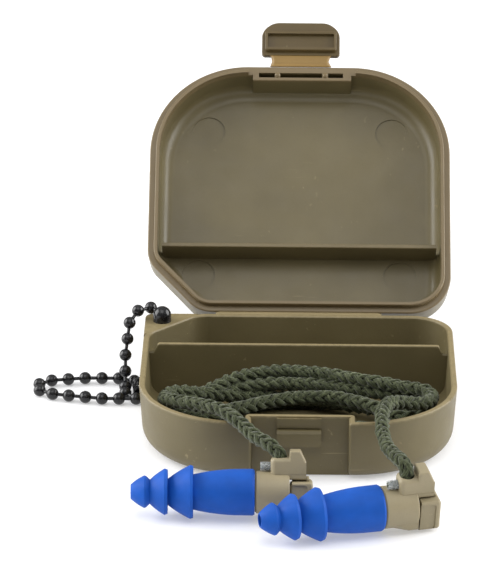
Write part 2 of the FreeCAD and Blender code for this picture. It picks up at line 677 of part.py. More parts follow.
def plug_cap():
    u0, u1 = CAP_U
    shape = Part.makeCylinder(CAP_BOTTOM_R, u1 - u0, Vector(u0, 0, 0), X_AXIS)
    shape = shape.common(box(u0, u1, -CAP_HALF, CAP_HALF, CAP_BOTTOM_V, CAP_TOP_V))
    shape = shape.makeFillet(CAP_LONG_R, [e for e in shape.Edges if e.BoundBox.XLength > u1 - u0 - 0.1])
    rear = [e for e in shape.Edges if e.BoundBox.XMin > u1 - 1e-4]
    shape = shape.makeFillet(CAP_EDGE_R, rear)
    for side in (-1, 1):
        inside = side * (CAP_HALF - GRIP_DEPTH)
        outside = side * (CAP_HALF + 1)
        pocket = box(GRIP_U[0], GRIP_U[1], min(inside, outside), max(inside, outside), GRIP_V[0], GRIP_V[1])
        corners = []
        for edge in pocket.Edges:
            bounds = edge.BoundBox
            if bounds.YLength > 1 and bounds.XMin > GRIP_U[1] - 1e-4:
                corners.append(edge)
        shape = shape.cut(pocket.makeFillet(GRIP_R, corners))
    plug_pin = Part.makeCylinder(PORT_R, 1.2, Vector(u0 - 1.1, 0, 0), X_AXIS)
    return shape.fuse(plug_pin)


def plug_cap_web():
    """Strap between the end of the arm and the top of the cap."""
    u1 = BLOCK_U[1]
    return box(u1, u1 + CAP_WEB_T, -CAP_WEB_HALF, CAP_WEB_HALF, CAP_TOP_V, CAP_TOP_V + CAP_WEB_T)


def plug_cord_tail():
    length = TAIL_OUT + SLOT_U - BLOCK_U[0] - SLOT_R - 0.2
    return Part.makeCylinder(TAIL_R, length, Vector(BLOCK_U[0] - TAIL_OUT, 0, TAIL_V), X_AXIS)


def plug_aglet():
    length = TAIL_OUT + 0.4
    start = Vector(BLOCK_U[0] - TAIL_OUT, 0, TAIL_V)
    tube = Part.makeCylinder(AGLET_R, length, start, X_AXIS)
    return tube.cut(Part.makeCylinder(TAIL_R, length + 1, start - X_AXIS * 0.5, X_AXIS))


# ================================================================ cord
def cord_tube(name, route):
    """Straight runs joined by tangent arcs, as large as the runs allow."""
    points = [Vector(*p) for p in route]
    edges = []
    radii = []
    here = points[0]
    length = 0.0
    for before, corner, after in zip(points, points[1:], points[2:]):
        back = before - corner
        ahead = after - corner
        half_turn = (math.pi - back.getAngle(ahead)) / 2
        cut = 0.45 * min(back.Length, ahead.Length)
        radius = cut / math.tan(half_turn)
        radii.append(radius)
        back.normalize()
        ahead.normalize()
        first = corner + back * cut
        last = corner + ahead * cut
        centre_distance = math.hypot(radius, cut)
        middle = corner + (back + ahead).normalize() * (centre_distance - radius)
        edges.append(Part.LineSegment(here, first).toShape())
        edges.append(Part.Arc(first, middle, last).toShape())
        length += (first - here).Length + radius * 2 * half_turn
        here = last
    edges.append(Part.LineSegment(here, points[-1]).toShape())
    length += (points[-1] - here).Length
    path = Part.Wire(edges)
    direction = (points[1] - points[0]).normalize()
    circle = Part.Wire(Part.makeCircle(CORD_D / 2, points[0], direction))
    tube = path.makePipeShell([circle], True, False, 2)
    section = math.pi * CORD_D ** 2 / 4
    print(name, "radii", [round(r, 1) for r in radii], "length", round(length, 1),
          "volume ratio", round(tube.Volume / (section * length), 3))
    return tube


def cord_coil():
    """Outer shape of the flat oval coil that lies in the front compartment."""
    z0, z1 = COIL_Z
    oval = Part.Ellipse(Vector(0, COIL_CENTRE_Y, z0), COIL_HALF_X, COIL_HALF_Y)
    body = Part.Face(Part.Wire(oval.toShape())).extrude(Vector(0, 0, z1 - z0))
    return body.makeFillet(COIL_EDGE_R, edges_at_z(body, z0) + edges_at_z(body, z1))


def build():
    beads, links = chain_parts()
    nodes = {
        "case_base": case_base(),
        "case_lid": case_lid(),
        "lid_hinge_web": lid_hinge_web(),
        "latch": latch(),
        "latch_hinge_web": latch_hinge_web(),
        "chain_anchor": chain_anchor(),
        "chain_beads": beads,
        "chain_links": links,
        "chain_connector": chain_connector(),
        "cord_coil": cord_coil(),
        "cord_lead_left": cord_tube("left", LEFT_ROUTE),
        "cord_lead_right": cord_tube("right", RIGHT_ROUTE),
    }
    pieces = {
        "flanges": plug_flanges(),
        "housing": plug_housing(),
        "filter": plug_filter(),
        "cap": plug_cap(),
        "cap_hinge": plug_cap_web(),
        "cord_tail": plug_cord_tail(),
        "aglet": plug_aglet(),
    }
    for side in PLUGS:
        for piece, shape in pieces.items():
            nodes["plug_" + side + "_" + piece] = place_plug(shape, side)
    return nodes


def export(nodes):
    os.makedirs("parts", exist_ok=True)
    for name, shape in nodes.items():
        kinds = "valid" if shape.isValid() else "INVALID"
        print(name, kinds, len(shape.Solids), "solids", round(shape.Volume, 1), "mm3")
        shape.exportStep("parts/" + name + ".step")


export(build())
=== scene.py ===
import math
import random

import bpy
from bpy.props import FloatProperty, FloatVectorProperty, PointerProperty
from mathutils import Matrix, Vector


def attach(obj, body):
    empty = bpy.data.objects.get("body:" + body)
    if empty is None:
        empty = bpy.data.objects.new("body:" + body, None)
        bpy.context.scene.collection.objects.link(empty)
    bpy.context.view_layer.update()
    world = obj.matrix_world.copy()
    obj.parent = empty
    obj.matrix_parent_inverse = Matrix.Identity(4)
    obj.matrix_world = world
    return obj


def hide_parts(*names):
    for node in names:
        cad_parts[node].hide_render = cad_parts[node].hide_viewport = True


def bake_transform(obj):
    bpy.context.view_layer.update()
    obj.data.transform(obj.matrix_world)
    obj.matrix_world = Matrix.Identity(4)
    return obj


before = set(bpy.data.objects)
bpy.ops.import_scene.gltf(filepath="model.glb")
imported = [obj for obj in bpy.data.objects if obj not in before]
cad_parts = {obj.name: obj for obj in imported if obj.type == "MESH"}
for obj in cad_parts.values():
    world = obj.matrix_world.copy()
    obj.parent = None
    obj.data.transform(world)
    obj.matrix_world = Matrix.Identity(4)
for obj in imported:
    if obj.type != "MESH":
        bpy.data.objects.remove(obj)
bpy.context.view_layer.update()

bl_info = {
    "name": "Corded Ear Plugs in a Hinged Case",
    "version": (1, 0, 0),
    "blender": (4, 5, 0),
    "location": "View3D > Sidebar > Ear Plugs",
    "description": "Dresses a pair of corded ear plugs and their carry case, piece by piece",
    "category": "Object",
}

MM = 0.001


def metres(*points):
    return [Vector(p) * MM for p in points]


# ---------------------------------------------------------------- the cord's line, mm
# out of the left plug's slot, over the front rim and along the rounded corner
LEFT_LEAD = (
    (-4.2, -54.7, 13.9), (-4.3, -54.4, 15.4), (-6.4, -52.0, 16.8), (-9.6, -47.6, 16.4),
    (-12.6, -42.4, 16.8), (-15.6, -37.6, 17.9), (-19.4, -32.2, 17.8), (-24.4, -27.0, 16.6),
    (-29.2, -22.0, 15.2), (-32.6, -17.6, 13.8),
)
# out of the coil, over the front rim and into the right plug's slot
RIGHT_LEAD = (
    (32.0, -16.8, 13.2), (28.2, -20.0, 14.6), (24.6, -22.8, 16.2), (22.2, -27.4, 17.6),
    (20.9, -33.0, 18.2), (20.5, -38.6, 17.9), (20.7, -44.2, 16.8), (21.4, -50.0, 16.3),
    (22.7, -55.8, 16.5), (24.4, -61.0, 17.4), (25.9, -64.8, 17.4), (26.2, -65.2, 15.0),
    (26.1, -64.8, 12.4),
)
# ends of the flat coil, left and right in turn: x, y, height, radius of the turn
COIL_ENDS = (
    (-33.9, -13.4, 12.6, 7.0), (34.0, -9.0, 3.5, 8.0),
    (-32.6, -12.2, 3.5, 7.6), (32.6, -12.2, 6.4, 7.0),
    (-33.2, -11.6, 6.8, 7.2), (33.8, -10.4, 9.4, 7.4),
    (-31.8, -12.8, 9.8, 6.6), (34.3, -11.6, 12.5, 7.0),
)
# stretches between the ends: y and height at the crown, and how far the crown leans in x
COIL_STRETCHES = (
    (2.8, 6.3, -3.0), (-15.5, 3.2, 2.0), (8.0, 3.2, 0.0), (-14.0, 6.0, 3.0),
    (2.9, 10.2, -5.0), (-4.6, 10.0, 4.0), (6.3, 12.2, -6.0),
)
# crown of a stretch: how full its bow is, and its points from one end, -1, to the other, 1
CROWN_POWER = 1.3
CROWN_STEPS = (-0.72, -0.38, 0.0, 0.38, 0.72)
# share of the climb to the crown that is done at the middle and at the end of a turn's corner
CORNER_CLIMB = 0.14
TURN_CLIMB = 0.3
SPLINE_RESOLUTION = 14

# ---------------------------------------------------------------- the braid
YARNS_EACH_WAY = 4
YARN_SIDES = 9
YARN_SEED = 7
# shares of the cord's radius
YARN_CENTRE = 0.80
YARN_SWING = 0.17
YARN_HALF_WIDE = 0.46
YARN_HALF_THICK = 0.29
SIDE_WOBBLE = 0.13
OUTWARD_WOBBLE = 0.08
# radians per metre of cord, and the shift from one yarn to the next
SIDE_WAVES = ((1900, 1.7), (811, 2.9))
OUTWARD_WAVE = 1270
# plies of a yarn: how many show, how deep, and their twist in radians per diameter of cord
PLIES = 3
PLY_DEPTH = 0.17
YARN_TWIST = 2.4
PLUMPNESS = (0.94, 1.06)
UV_DRIFT = 50
TAPER_REACH = 0.6

# ---------------------------------------------------------------- living hinges, mm
HINGE_Y = 36.6
HINGE_Z = 15.9
OPEN_ANGLE = math.radians(136.3)
LID_WEB_HALF = 21.7
LID_WEB_T = 0.5
LID_WEB_REACH = 0.4
LID_WEB_STEPS = 10
LID_WEB_COLUMNS = 40
NECK_HALF = 7.5
NECK_T = 0.5
NECK_FROM = 73.2
NECK_TO = 76.5
NECK_FOLD = 74.0
NECK_STEPS = 14
NECK_COLUMNS = 24
NECK_FLARE = 0.10
GROOVE_DEPTH = 0.55
GROOVE_HALF = 0.32
RIBBON_EDGE_PULL = 0.55

# ---------------------------------------------------------------- plugs, mm
PLUG_AXIS_Z = 6.53
PLUG_ROLLS = {"left": math.radians(17.0), "right": math.radians(-10.0)}
PLUG_TIPS = {"left": (-40.3, -57.4), "right": (-8.94, -73.5)}
PLUG_YAWS = {"left": math.radians(0.6), "right": math.radians(15.6)}
TAIL_V = 6.3
TAIL_FROM_U = 31.5
TAIL_TO_U = 35.2
TAIL_STEPS = 12
TAIL_DIAMETER = 1.75
TAIL_LAY = 3.6
TAIL_STEP = 0.15
TAIL_TAPER = 0.55
STRAP_U = 42.4
STRAP_V = (2.8, 3.8)
STRAP_HALF = 2.0
STRAP_T = 0.8
STRAP_BULGE = 0.25
STRAP_STEPS = 8
STRAP_COLUMNS = 10
SEAL_V = -0.9
# distance along the plug and radius of each ring
SEAL_RINGS = ((38.45, 2.9), (38.5, 3.35), (38.65, 3.6), (39.05, 3.6))
SEAL_SIDES = 40
NUB_U = 21.0
NUB_R = 5.2
# radius of each ring and its distance below the sleeve
NUB_RINGS = ((0.55, -0.4), (0.5, 0.0), (0.44, 0.35), (0.36, 0.5))
NUB_SIDES = 14
NUB_SEED = 3
NUB_UNEVEN = (0.94, 1.06)

# ---------------------------------------------------------------- finishes of the case
# the shell plastic darkened into painted shade, as the latch faces away from the light
LATCH_SHADED_COLOUR = (0.094, 0.064, 0.021)
THIN_COLOUR = (0.238, 0.145, 0.038)
# metres: height at which the painted highlight along the base's rim starts, and where it is full
BASE_RIM_HIGHLIGHT = (0.0152, 0.0162)
# metres behind the lid's rim plane where its edge tint ends, and where it is full
LID_RIM = (0.0012, 0.0002)
# colour sockets of the Mix node, which share their names with its other types
MIX_FIRST = 6
MIX_SECOND = 7
MIX_RESULT = 2

# ---------------------------------------------------------------- camera and light, metres
CAMERA_HEADING = math.radians(0.638)
CAMERA_DOWN = math.radians(21.341)
CAMERA_ROLL = math.radians(-0.295)
CAMERA_TARGET = Vector((-12.33, -0.14, 36.23)) * MM
CAMERA_DISTANCE = 1.0534
SENSOR_WIDTH = 36.0
CLIP_NEAR = 0.05
CLIP_FAR = 50.0
FLOOR_REACH = 6.0
LIGHT_TARGET = (0.0, 0.0, 0.03)
# name, place, size and the setting that holds the strength
SOFTBOXES = (
    ("left_softbox", (-0.74, 0.10, 0.33), 0.70, "side_power"),
    ("right_softbox", (0.74, 0.10, 0.33), 0.70, "side_power"),
    ("top_softbox", (-0.05, -0.38, 0.85), 0.60, "top_power"),
)


# ---------------------------------------------------------------- settings
class EarPlugCaseSettings(bpy.types.PropertyGroup):
    shell_colour: FloatVectorProperty(
        name="Shell", description="Colour of the moulded case", subtype="COLOR",
        size=3, min=0.0, max=1.0, default=(0.126, 0.102, 0.046))
    # paler colour of scratches and flexed plastic, also used as the painted highlight on the base's
    # rim
    wear_and_rim_highlight_colour: FloatVectorProperty(
        name="Rubbed edges and rim highlight", description="Paler colour of rims and scratches", subtype="COLOR",
        size=3, min=0.0, max=1.0, default=(0.310, 0.245, 0.125))
    edge_colour: FloatVectorProperty(
        name="Lid edge", description="Warmer colour along the rim of the lid", subtype="COLOR",
        size=3, min=0.0, max=1.0, default=(0.168, 0.120, 0.060))
    grain: FloatProperty(
        name="Grain", description="Depth of the moulded surface grain", unit="LENGTH",
        default=0.00003, min=0.0, max=0.0005)


class EarPlugCordSettings(bpy.types.PropertyGroup):
    diameter: FloatProperty(
        name="Diameter", description="Thickness of the braided cord", unit="LENGTH",
        default=0.003, min=0.0025, max=0.0035)
    lay_length: FloatProperty(
        name="Lay length", description="Cord length in which one yarn goes round once",
        unit="LENGTH", default=0.0108, min=0.004, max=0.014)
    step: FloatProperty(
        name="Step", description="Distance between rings of a yarn's mesh", unit="LENGTH",
        default=0.0005, min=0.0002, max=0.002)
    colour: FloatVectorProperty(
        name="Yarn", description="Colour of the yarns", subtype="COLOR",
        size=3, min=0.0, max=1.0, default=(0.050, 0.060, 0.026))
    # pale colour painted on the yarns as highlights on the fibres
    fibre_highlight_colour: FloatVectorProperty(
        name="Fibre highlights", description="Colour of the painted highlights on the fibres", subtype="COLOR",
        size=3, min=0.0, max=1.0, default=(0.155, 0.175, 0.090))


class EarPlugPairSettings(bpy.types.PropertyGroup):
    flange_colour: FloatVectorProperty(
        name="Flanges", description="Colour of the soft flanges and sleeve", subtype="COLOR",
        size=3, min=0.0, max=1.0, default=(0.005, 0.081, 0.420))
    housing_colour: FloatVectorProperty(
        name="Housing", description="Colour of the hard housing and its cap", subtype="COLOR",
        size=3, min=0.0, max=1.0, default=(0.295, 0.249, 0.152))


class EarPlugChainSettings(bpy.types.PropertyGroup):
    enamel_colour: FloatVectorProperty(
        name="Enamel", description="Colour of the ball chain", subtype="COLOR",
        size=3, min=0.0, max=1.0, default=(0.004, 0.004, 0.005))


class EarPlugStageSettings(bpy.types.PropertyGroup):
    lens: FloatProperty(
        name="Lens", description="Focal length of the camera, in millimetres",
        default=257.87, min=20.0, max=400.0)
    side_power: FloatProperty(
        name="Side lights", description="Strength of the softboxes on both sides",
        default=9.0, min=0.0)
    top_power: FloatProperty(
        name="Top light", description="Strength of the softbox above", default=1.9, min=0.0)
    room_power: FloatProperty(
        name="Room light", description="Strength of the light from the walls",
        default=0.85, min=0.0)
    table_glow: FloatProperty(
        name="Table glow", description="Light that the white table gives off",
        default=0.34, min=0.0)


# ---------------------------------------------------------------- material helpers
def node(tree, kind, **values):
    """New shader node; each keyword sets an input of that name, or an attribute."""
    made = tree.nodes.new(kind)
    for key, value in values.items():
        label = key.replace("_", " ")
        found = [i for i in made.inputs if i.name.lower() == label and i.enabled]
        if found:
            found[0].default_value = value
        else:
            setattr(made, key, value)
    return made


def blank_material(name):
    material = bpy.data.materials.new(name)
    material.use_nodes = True
    tree = material.node_tree
    tree.nodes.clear()
    shader = tree.nodes.new("ShaderNodeBsdfPrincipled")
    output = tree.nodes.new("ShaderNodeOutputMaterial")
    tree.links.new(shader.outputs["BSDF"], output.inputs["Surface"])
    return material, tree, shader


def object_coordinates(tree, scale=(1.0, 1.0, 1.0), rotation=(0.0, 0.0, 0.0)):
    place = node(tree, "ShaderNodeTexCoord")
    turn = node(tree, "ShaderNodeMapping", scale=scale, rotation=rotation)
    tree.links.new(place.outputs["Object"], turn.inputs["Vector"])
    return turn.outputs["Vector"]


def noise(tree, vector, scale, detail=3.0, roughness=0.5):
    made = node(tree, "ShaderNodeTexNoise", scale=scale, detail=detail, roughness=roughness)
    tree.links.new(vector, made.inputs["Vector"])
    return made.outputs["Fac"]


def ramp(tree, factor, *stops):
    """Colour ramp with (place, colour) stops."""
    made = node(tree, "ShaderNodeValToRGB")
    made.color_ramp.elements[0].position = stops[0][0]
    made.color_ramp.elements[0].color = (*stops[0][1], 1.0)
    made.color_ramp.elements[1].position = stops[-1][0]
    made.color_ramp.elements[1].color = (*stops[-1][1], 1.0)
    for place, colour in stops[1:-1]:
        element = made.color_ramp.elements.new(place)
        element.color = (*colour, 1.0)
    tree.links.new(factor, made.inputs["Fac"])
    return made.outputs["Color"]


def between(tree, value, low, high, to_low=0.0, to_high=1.0):
    made = node(tree, "ShaderNodeMapRange")
    made.inputs["From Min"].default_value = low
    made.inputs["From Max"].default_value = high
    made.inputs["To Min"].default_value = to_low
    made.inputs["To Max"].default_value = to_high
    tree.links.new(value, made.inputs["Value"])
    return made.outputs["Result"]


def mix(tree, factor, first, second):
    made = node(tree, "ShaderNodeMix", data_type="RGBA")
    tree.links.new(factor, made.inputs["Factor"])
    for socket, source in ((made.inputs[MIX_FIRST], first), (made.inputs[MIX_SECOND], second)):
        if isinstance(source, bpy.types.NodeSocket):
            tree.links.new(source, socket)
        else:
            socket.default_value = (*source, 1.0)
    return made.outputs[MIX_RESULT]


def maths(tree, operation, first, second):
    made = node(tree, "ShaderNodeMath", operation=operation)
    for socket, source in ((made.inputs[0], first), (made.inputs[1], second)):
        if isinstance(source, bpy.types.NodeSocket):
            tree.links.new(source, socket)
        else:
            socket.default_value = source
    return made.outputs["Value"]


def bump(tree, height, distance, strength=1.0, under=None):
    made = node(tree, "ShaderNodeBump", distance=distance, strength=strength)
    tree.links.new(height, made.inputs["Height"])
    if under is not None:
        tree.links.new(under, made.inputs["Normal"])
    return made.outputs["Normal"]


def scaled(colour, factor):
    return tuple(min(1.0, c * factor) for c in colour)


# ---------------------------------------------------------------- finishes
def moulded_plastic(name, colour, wear, grain, rim=None, scratches=0.5, gloss=(0.40, 0.52)):
    """Satin moulded plastic: flow mottling, fine grain, hairline scratches and a tinted band near a
    rim, which on the base is a painted highlight.
    """
    material, tree, shader = blank_material(name)
    plain = object_coordinates(tree)
    mottling = noise(tree, plain, 55.0, 4.0, 0.55)
    base = ramp(tree, mottling, (0.3, scaled(colour, 0.90)), (0.5, colour),
                (0.72, scaled(colour, 1.10)))
    speckle = noise(tree, plain, 1500.0, 2.0)
    base = mix(tree, between(tree, speckle, 0.55, 0.75, 0.0, 0.22), base, scaled(colour, 0.8))
    marks = noise(tree, object_coordinates(tree, (60.0, 900.0, 900.0), (0.3, 0.2, 0.5)), 1.0, 2.0)
    cross = noise(tree, object_coordinates(tree, (800.0, 50.0, 700.0), (0.1, 0.4, -0.4)), 1.0, 2.0)
    lines = maths(tree, "MAXIMUM", between(tree, marks, 0.68, 0.74),
                  between(tree, cross, 0.69, 0.75))
    patches = between(tree, noise(tree, plain, 90.0, 2.0), 0.5, 0.65)
    lines = maths(tree, "MULTIPLY", lines, patches)
    base = mix(tree, maths(tree, "MULTIPLY", lines, scratches), base, wear)
    # tinted band near a rim: on the base a painted highlight where the rim's top catches the light,
    # on the lid a warmer tint along its rim
    if rim is not None:
        axis, low, high, tint = rim
        depth = node(tree, "ShaderNodeVectorMath", operation="DOT_PRODUCT")
        tree.links.new(plain, depth.inputs[0])
        depth.inputs[1].default_value = axis
        ragged = maths(tree, "ADD", depth.outputs["Value"],
                       between(tree, noise(tree, plain, 700.0, 3.0), 0.0, 1.0, -0.0004, 0.0004))
        base = mix(tree, between(tree, ragged, low, high, 0.0, 0.75), base, tint)
    tree.links.new(base, shader.inputs["Base Color"])
    sheen_patches = noise(tree, plain, 160.0, 3.0)
    tree.links.new(between(tree, sheen_patches, 0.3, 0.7, *gloss), shader.inputs["Roughness"])
    waves = bump(tree, noise(tree, plain, 70.0, 1.0), 0.0002, 0.35)
    fine = bump(tree, noise(tree, plain, 4200.0, 2.0), grain, 0.8, waves)
    tree.links.new(bump(tree, lines, 0.00002, 0.3, fine), shader.inputs["Normal"])
    shader.inputs["Specular IOR Level"].default_value = 0.42
    return material


def soft_rubber(name, colour):
    """Matt moulded elastomer with lint and faint flow lines."""
    material, tree, shader = blank_material(name)
    plain = object_coordinates(tree)
    cloud = noise(tree, plain, 220.0, 4.0)
    base = ramp(tree, cloud, (0.3, scaled(colour, 0.88)), (0.55, colour),
                (0.8, scaled(colour, 1.14)))
    lint = node(tree, "ShaderNodeTexVoronoi", scale=420.0, randomness=1.0)
    tree.links.new(plain, lint.inputs["Vector"])
    specks = between(tree, lint.outputs["Distance"], 0.07, 0.045, 0.0, 0.7)
    sparse = between(tree, noise(tree, plain, 150.0), 0.56, 0.6)
    pale = tuple(0.45 * c + 0.30 for c in colour)
    base = mix(tree, maths(tree, "MULTIPLY", specks, sparse), base, pale)
    tree.links.new(base, shader.inputs["Base Color"])
    tree.links.new(between(tree, noise(tree, plain, 600.0), 0.3, 0.7, 0.50, 0.64),
                   shader.inputs["Roughness"])
    flow = bump(tree, noise(tree, plain, 260.0, 2.0), 0.00008, 0.5)
    tree.links.new(bump(tree, noise(tree, plain, 5200.0), 0.00002, 0.6, flow),
                   shader.inputs["Normal"])
    shader.inputs["Specular IOR Level"].default_value = 0.2
    shader.inputs["Sheen Weight"].default_value = 0.03
    shader.inputs["Sheen Roughness"].default_value = 0.5
    return material


def black_enamel(name, colour, scale=900.0):
    """Glossy black lacquer over metal, with orange peel and a little dust."""
    material, tree, shader = blank_material(name)
    plain = object_coordinates(tree)
    dust = noise(tree, plain, 2600.0, 3.0)
    base = ramp(tree, dust, (0.5, colour), (0.78, tuple(c + 0.035 for c in colour)))
    tree.links.new(base, shader.inputs["Base Color"])
    tree.links.new(between(tree, noise(tree, plain, 500.0), 0.3, 0.7, 0.10, 0.24),
                   shader.inputs["Roughness"])
    peel = bump(tree, noise(tree, plain, scale, 2.0), 0.00012, 0.45)
    tree.links.new(bump(tree, dust, 0.00002, 0.5, peel), shader.inputs["Normal"])
    shader.inputs["Specular IOR Level"].default_value = 0.45
    return material


def clear_sleeve(name):
    """Clear shrunk tube with a slightly wavy skin."""
    material, tree, shader = blank_material(name)
    plain = object_coordinates(tree)
    haze = noise(tree, plain, 1400.0, 2.0)
    tree.links.new(ramp(tree, haze, (0.35, (0.78, 0.81, 0.82)), (0.7, (0.60, 0.64, 0.66))),
                   shader.inputs["Base Color"])
    tree.links.new(between(tree, haze, 0.3, 0.7, 0.06, 0.14), shader.inputs["Roughness"])
    tree.links.new(bump(tree, noise(tree, plain, 700.0, 1.0), 0.00005, 0.4),
                   shader.inputs["Normal"])
    shader.inputs["Alpha"].default_value = 0.28
    shader.inputs["Specular IOR Level"].default_value = 0.8
    return material


def filter_gauze(name):
    """Fine woven filter behind the bore."""
    material, tree, shader = blank_material(name)
    plain = object_coordinates(tree)
    warp = node(tree, "ShaderNodeTexWave", scale=900.0, distortion=0.6, bands_direction="Y")
    weft = node(tree, "ShaderNodeTexWave", scale=900.0, distortion=0.6, bands_direction="Z")
    tree.links.new(plain, warp.inputs["Vector"])
    tree.links.new(plain, weft.inputs["Vector"])
    weave = maths(tree, "MAXIMUM", warp.outputs["Fac"], weft.outputs["Fac"])
    tree.links.new(ramp(tree, weave, (0.2, (0.02, 0.02, 0.02)), (0.9, (0.22, 0.21, 0.19))),
                   shader.inputs["Base Color"])
    tree.links.new(bump(tree, weave, 0.0001), shader.inputs["Normal"])
    shader.inputs["Roughness"].default_value = 0.6
    return material


def braided_yarn(name, colour, fibre_highlight_colour):
    """Dull spun yarn with painted highlights on its fibres and painted shade in its hollows; the
    mesh's UV runs along and around each yarn.
    """
    material, tree, shader = blank_material(name)
    place = node(tree, "ShaderNodeUVMap", uv_map="yarn")
    fibres = node(tree, "ShaderNodeMapping", scale=(1.6, 16.0, 1.0), rotation=(0.0, 0.0, 0.12))
    tree.links.new(place.outputs["UV"], fibres.inputs["Vector"])
    streaks = noise(tree, fibres.outputs["Vector"], 1.0, 4.0, 0.6)
    plain = object_coordinates(tree)
    fade = noise(tree, plain, 120.0, 3.0)
    # streaks along the yarn, partly the fibres' own tone: the pale end is a painted highlight on
    # the fibres and the darkest end painted shade between them
    base = ramp(tree, streaks, (0.34, scaled(colour, 0.30)), (0.5, colour), (0.68, fibre_highlight_colour))
    base = mix(tree, between(tree, fade, 0.35, 0.7, 0.0, 0.45), base, scaled(colour, 0.6))
    # fuzz specks, lightened towards the painted fibre highlight colour
    fluff = noise(tree, plain, 2900.0, 3.0, 0.7)
    base = mix(tree, between(tree, fluff, 0.56, 0.70, 0.0, 0.7), base, fibre_highlight_colour)
    # dark patches: painted shade standing for the hollows between the yarns
    hollow_shade = noise(tree, plain, 1700.0, 3.0, 0.6)
    base = mix(tree, between(tree, hollow_shade, 0.50, 0.36, 0.0, 0.8), base, scaled(colour, 0.22))
    tree.links.new(base, shader.inputs["Base Color"])
    ridges = bump(tree, streaks, 0.00016, 0.9)
    tree.links.new(bump(tree, fluff, 0.00008, 0.7, ridges), shader.inputs["Normal"])
    shader.inputs["Roughness"].default_value = 0.86
    shader.inputs["Sheen Weight"].default_value = 0.18
    shader.inputs["Sheen Roughness"].default_value = 0.45
    shader.inputs["Specular IOR Level"].default_value = 0.25
    return material


def dress(cad_name, material):
    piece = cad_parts[cad_name]
    if not piece.material_slots:
        piece.data.materials.append(material)
    for slot in piece.material_slots:
        slot.material = material


# ---------------------------------------------------------------- mesh helpers
def mesh_object(name, vertices, faces, material, smooth=True):
    mesh = bpy.data.meshes.new(name)
    mesh.from_pydata(vertices, [], faces)
    mesh.validate()
    mesh.materials.append(material)
    mesh.polygons.foreach_set("use_smooth", [smooth] * len(mesh.polygons))
    made = bpy.data.objects.new(name, mesh)
    bpy.context.scene.collection.objects.link(made)
    return made


def ring_faces(rings, around):
    """Faces of a closed tube: quads from ring to ring, then both ends."""
    faces = []
    for i in range(rings - 1):
        a = i * around
        for k in range(around):
            n = (k + 1) % around
            faces.append((a + k, a + n, a + around + n, a + around + k))
    faces.append(tuple(reversed(range(around))))
    faces.append(tuple((rings - 1) * around + k for k in range(around)))
    return faces


def spline_points(name, route):
    """Points of the smooth line that has the route as its control points."""
    curve = bpy.data.curves.new(name, "CURVE")
    curve.dimensions = "3D"
    curve.resolution_u = SPLINE_RESOLUTION
    spline = curve.splines.new("NURBS")
    spline.points.add(len(route) - 1)
    for point, place in zip(spline.points, route):
        point.co = (*place, 1.0)
    spline.order_u = 3
    spline.use_endpoint_u = True
    holder = bpy.data.objects.new(name, curve)
    bpy.context.scene.collection.objects.link(holder)
    bpy.context.view_layer.update()
    depsgraph = bpy.context.evaluated_depsgraph_get()
    line = bpy.data.meshes.new_from_object(holder.evaluated_get(depsgraph))
    points = [v.co.copy() for v in line.vertices]
    bpy.data.meshes.remove(line)
    bpy.data.objects.remove(holder)
    bpy.data.curves.remove(curve)
    return points


def evenly(points, step):
    """The same line with points a step apart."""
    total = sum((b - a).length for a, b in zip(points, points[1:]))
    count = max(2, round(total / step))
    gap = total / count
    spaced = [points[0].copy()]
    travelled = 0.0
    target = gap
    for a, b in zip(points, points[1:]):
        length = (b - a).length
        while length > 0 and travelled + length >= target - 1e-12 and len(spaced) < count:
            spaced.append(a.lerp(b, (target - travelled) / length))
            target += gap
        travelled += length
    spaced.append(points[-1].copy())
    return spaced, total


def travelling_frames(points):
    """Tangent, side and normal along a line, without twist."""
    frames = []
    side = Vector((0, 0, 1)).cross(points[1] - points[0])
    if side.length < 1e-9:
        side = Vector((1, 0, 0))
    side.normalize()
    last = len(points) - 1
    for i in range(len(points)):
        tangent = (points[min(i + 1, last)] - points[max(i - 1, 0)]).normalized()
        side = (side - tangent * side.dot(tangent)).normalized()
        frames.append((tangent, side, tangent.cross(side)))
    return frames


